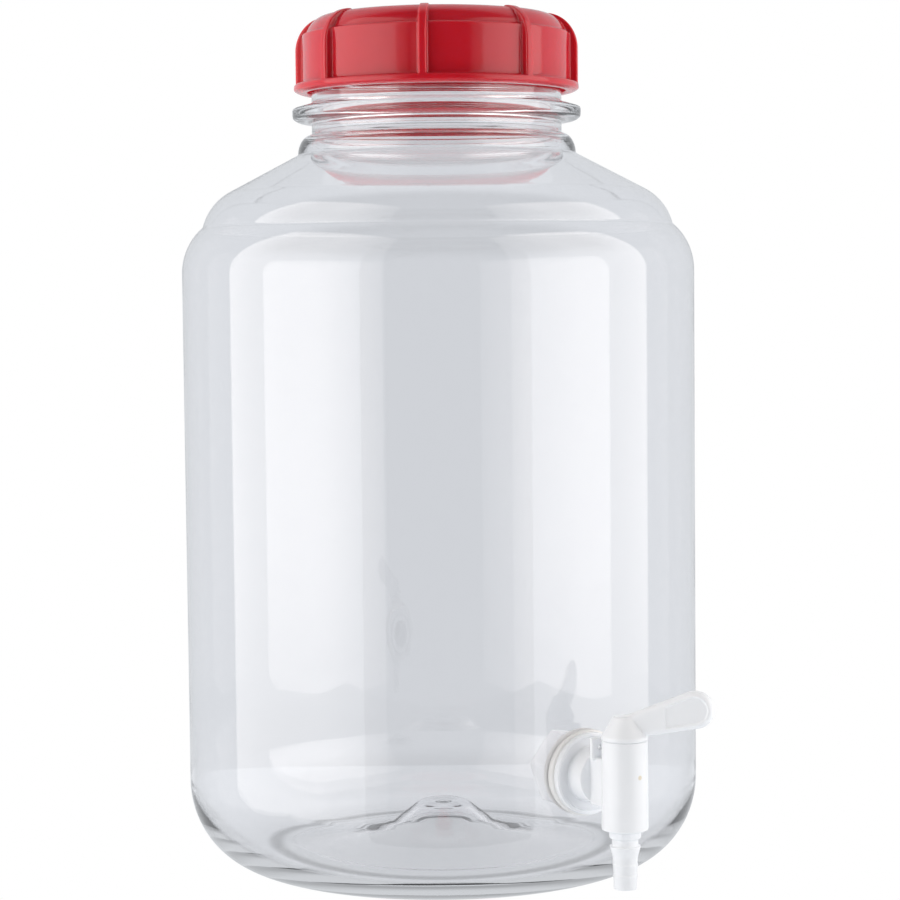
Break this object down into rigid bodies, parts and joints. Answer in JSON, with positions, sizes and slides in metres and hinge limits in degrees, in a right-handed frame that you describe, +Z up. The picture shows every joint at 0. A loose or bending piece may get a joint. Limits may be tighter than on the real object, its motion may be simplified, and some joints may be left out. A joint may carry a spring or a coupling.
{
  "type": "carboy with tap",
  "caption": "Clear plastic carboy with a stepped shoulder, a red ribbed screw lid over a ringed neck, and a white lever tap with a barbed spout low on the wall.",
  "frame": {"origin": "on the floor, under the middle of the space that the bottle and its tap take up together", "axes": "+Z up along the bottle's axis; -Y along the tap, away from the bottle; +X to the side that the tap's lever swings to when it closes"},
  "size_m": [0.23, 0.2866, 0.3813],
  "materials": {
    "clear_pet": "clear and glossy",
    "red_polypropylene": "satin gloss, moulded",
    "white_polypropylene": "satin gloss, moulded",
    "white_washer_rubber": "soft, matt",
    "gasket_rubber": "soft, matt"
  },
  "bodies": {
    "bottle": {"bottle": "clear_pet", "tap_body": "white_polypropylene", "back_nut": "white_polypropylene", "outer_washer": "white_washer_rubber", "inner_washer": "white_washer_rubber"},
    "gasket": {"lid_gasket": "gasket_rubber"},
    "lid": {"lid": "red_polypropylene"},
    "tap_plug": {"tap_plug": "white_polypropylene"}
  },
  "joints": [
    {"name": "lid_lift", "type": "slide", "parent": "bottle", "child": "gasket", "axis": [0, 0, 1], "range_m": [0, 0.0401]},
    {"name": "lid_turn", "type": "hinge", "parent": "gasket", "child": "lid", "pos_m": [0, 0.02837, 0.3467], "axis": [0, 0, 1], "range_deg": [0, 1800]},
    {"name": "tap_turn", "type": "hinge", "parent": "bottle", "child": "tap_plug", "pos_m": [0, -0.11523, 0.0572], "axis": [0, 0, 1], "range_deg": [-45, 45]}
  ],
  "couplings": [
    {"joint": "lid_lift", "follows": "lid_turn", "m_per_rad": 0.0012732}
  ]
}
